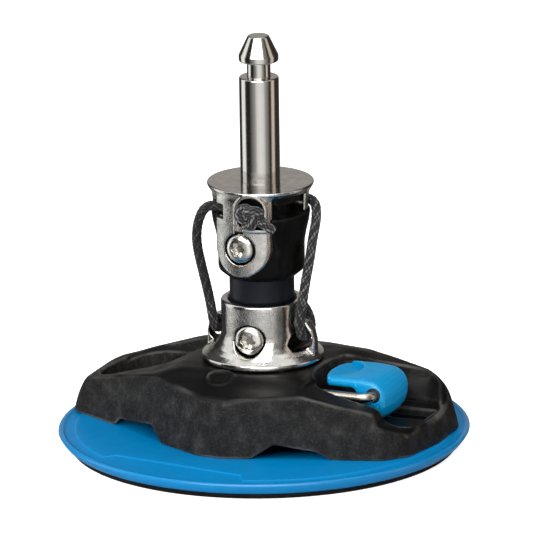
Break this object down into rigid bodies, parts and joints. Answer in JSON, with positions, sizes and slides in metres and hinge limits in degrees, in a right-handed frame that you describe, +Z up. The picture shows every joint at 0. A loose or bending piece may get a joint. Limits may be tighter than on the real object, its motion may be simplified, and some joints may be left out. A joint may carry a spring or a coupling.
{
  "type": "mast foot with vacuum disc base",
  "caption": "Mast foot: a grooved pin on a flexible tendon joint with a safety line, on a moulded bridge over a vacuum disc that a cam lever draws up.",
  "frame": {"origin": "middle of the disc, on the plane it stands on", "axes": "+Z up the mast pin, +X along the bridge towards the cam lever, -Y towards the front screw heads"},
  "size_m": [0.165, 0.165, 0.1692],
  "materials": {
    "pad_rubber": "matt",
    "disc_blue": "satin moulded",
    "bridge_black": "fine grain",
    "lever_blue": "satin moulded",
    "bush_plastic": "moulded",
    "screw_steel": "machined",
    "wire_steel": "drawn and polished",
    "inner_steel": "machined",
    "tendon_black": "smooth",
    "cast_nickel": "plated casting",
    "cup_black": "fine grain",
    "pin_steel": "polished steel",
    "line_grey": "braided"
  },
  "bodies": {
    "base": {"suction_pad": "pad_rubber", "base_disc": "disc_blue", "bridge": "bridge_black", "bridge_screws": "screw_steel", "wear_plate": "screw_steel", "collar": "cast_nickel", "collar_screws": "screw_steel", "lower_sleeve": "inner_steel", "lower_cross_screws": "screw_steel", "line_lower": "line_grey"},
    "bail_wire": {"bail": "wire_steel"},
    "lever": {"cam_lever": "lever_blue", "lever_bush": "bush_plastic"},
    "lift": {"lift_bar": "inner_steel", "lift_stud": "inner_steel", "lift_nut": "inner_steel", "lift_plate": "inner_steel"},
    "flex": {"tendon": "tendon_black"},
    "mast": {"tendon_cup": "cup_black", "yoke": "cast_nickel", "mast_pin": "pin_steel", "pin_washer": "inner_steel", "pin_nut": "inner_steel", "upper_sleeve": "inner_steel", "upper_cross_screws": "screw_steel", "line_left": "line_grey", "line_right": "line_grey", "knot_front": "line_grey", "knot_rear": "line_grey"}
  },
  "joints": [
    {"name": "bail_tilt", "type": "hinge", "parent": "base", "child": "bail_wire", "pos_m": [-0.02, 0, 0.0285], "axis": [0, 1, 0], "range_deg": [0, 3.94]},
    {"name": "lever_flip", "type": "hinge", "parent": "bail_wire", "child": "lever", "pos_m": [0.053, 0, 0.0285], "axis": [0, 1, 0], "range_deg": [0, 150]},
    {"name": "lift_level", "type": "hinge", "parent": "bail_wire", "child": "lift", "pos_m": [0, 0, 0.0285], "axis": [0, 1, 0], "range_deg": [-3.94, 0], "deforming": ["suction_pad"]},
    {"name": "tilt_x", "type": "hinge", "parent": "base", "child": "flex", "pos_m": [0, 0, 0.0604], "axis": [1, 0, 0], "range_deg": [-45, 45], "stiffness_Nm_per_rad": 3, "deforming": ["tendon", "line_left", "line_right", "line_lower"]},
    {"name": "tilt_y", "type": "hinge", "parent": "flex", "child": "mast", "pos_m": [0, 0, 0.0604], "axis": [0, 1, 0], "range_deg": [-45, 45], "stiffness_Nm_per_rad": 3, "deforming": ["tendon", "line_left", "line_right", "line_lower"]}
  ],
  "couplings": [
    {"joint": "bail_tilt", "follows": "lever_flip", "ratio": 0.0262},
    {"joint": "lift_level", "follows": "lever_flip", "ratio": -0.0262}
  ]
}
